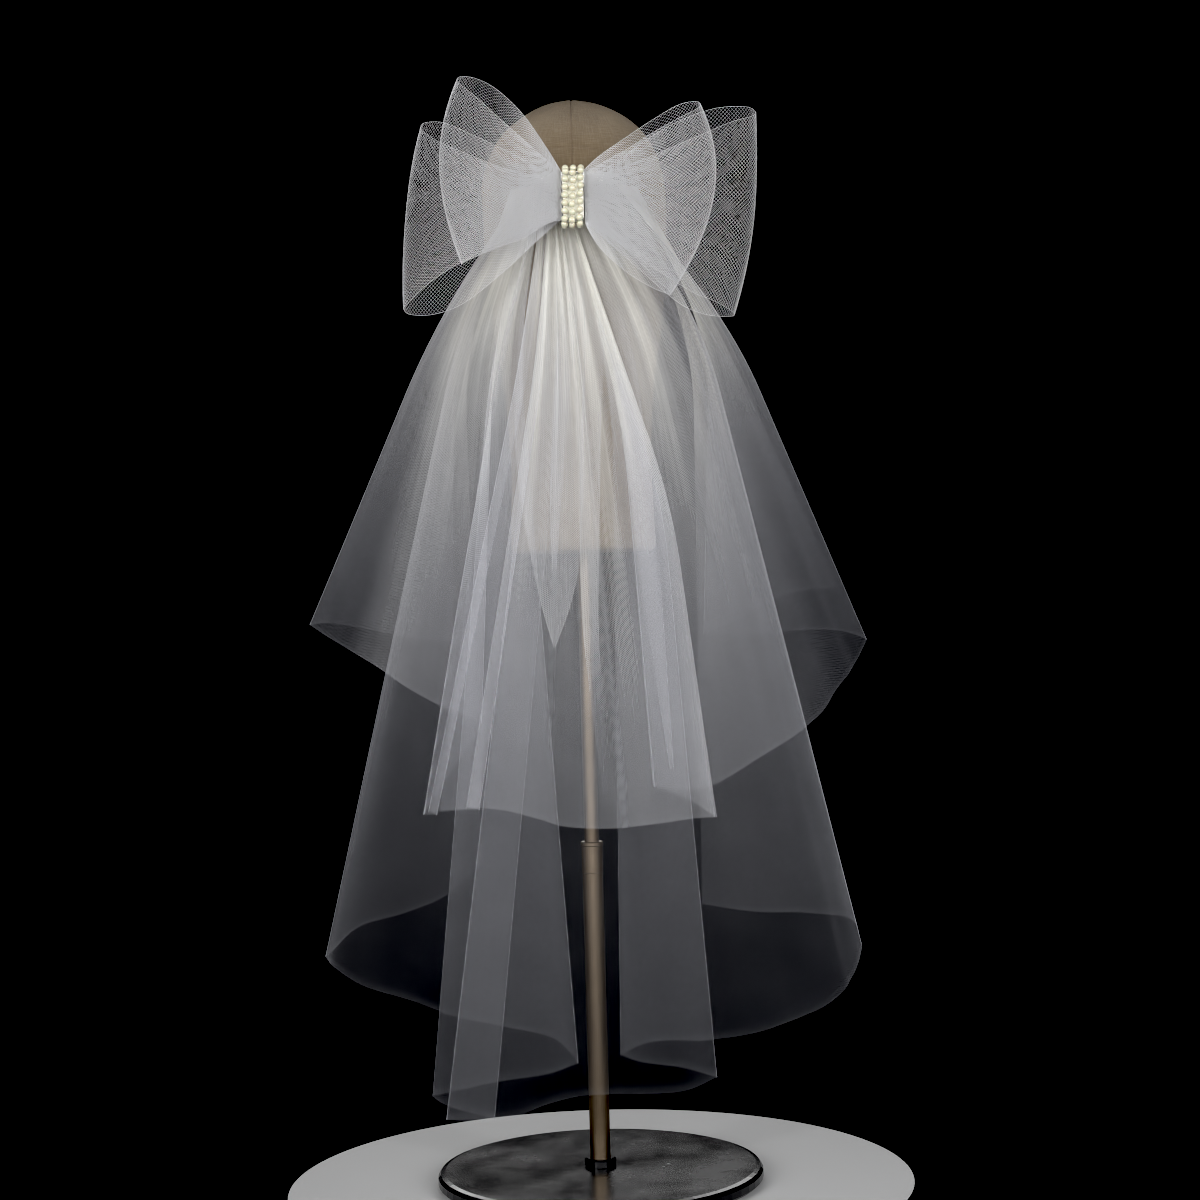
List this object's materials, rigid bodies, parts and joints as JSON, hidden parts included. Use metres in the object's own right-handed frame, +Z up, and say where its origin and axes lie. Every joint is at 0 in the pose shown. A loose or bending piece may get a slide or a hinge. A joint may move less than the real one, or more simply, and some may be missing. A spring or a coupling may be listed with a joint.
{
  "type": "bridal veil on display head stand",
  "caption": "Tiered soft tulle bridal veil with a crin bow and pearl knot, worn on a canvas head block on a telescoping stand.",
  "frame": {"origin": "centre of the base disc's underside, on the table", "axes": "+Z up along the pole; the back of the head, with the bow and the veil, faces -Y; +X is to the right of someone who looks at the bow"},
  "size_m": [0.4771, 0.3476, 0.935],
  "materials": {
    "base": "gloss black",
    "metal": "brushed champagne",
    "canvas": "plain woven linen canvas",
    "comb": "satin wire comb",
    "tulle": "sheer soft ivory net",
    "crin": "stiff open white horsehair mesh",
    "pearl": "ivory pearl lustre"
  },
  "bodies": {
    "stand": {"base_disc": "base", "foot_ring": "base", "lower_tube": "metal", "collar": "metal"},
    "display": {"upper_tube": "metal", "canvas_head": "canvas", "comb": "comb", "tulle_short": "tulle", "tulle_long": "tulle", "loop_front_left": "crin", "loop_front_right": "crin", "loop_back_left": "crin", "loop_back_right": "crin", "knot": "crin", "pearls_left": "pearl", "pearls_middle": "pearl", "pearls_right": "pearl"}
  },
  "joints": [
    {"name": "height_slide", "type": "slide", "parent": "stand", "child": "display", "axis": [0, 0, 1], "range_m": [-0.07, 0.13]}
  ]
}
